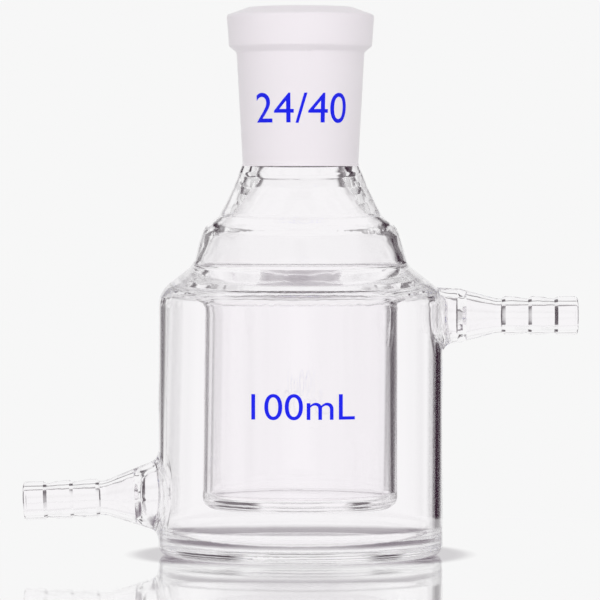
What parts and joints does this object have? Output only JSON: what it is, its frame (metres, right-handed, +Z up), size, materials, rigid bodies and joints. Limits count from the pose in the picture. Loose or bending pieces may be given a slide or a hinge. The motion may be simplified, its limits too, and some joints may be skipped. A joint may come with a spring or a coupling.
{
  "type": "jacketed single-neck flat-bottom flask",
  "caption": "Clear glass flask with a flat-bottomed inner vessel in a fused jacket, one ground socket on top, and barbed hose connections low on one side and high on the other.",
  "frame": {"origin": "centre of the flat base, on the surface that the flask stands on", "axes": "+Z up the flask's axis and out of the socket's mouth; the hose connections lie along X, the low one towards -X and the high one towards +X"},
  "size_m": [0.1461, 0.075, 0.1439],
  "materials": {
    "borosilicate_glass": "clear fire-polished glass, ground matt inside the socket"
  },
  "bodies": {
    "root": {"jacketed_flask": "borosilicate_glass"}
  },
  "joints": []
}
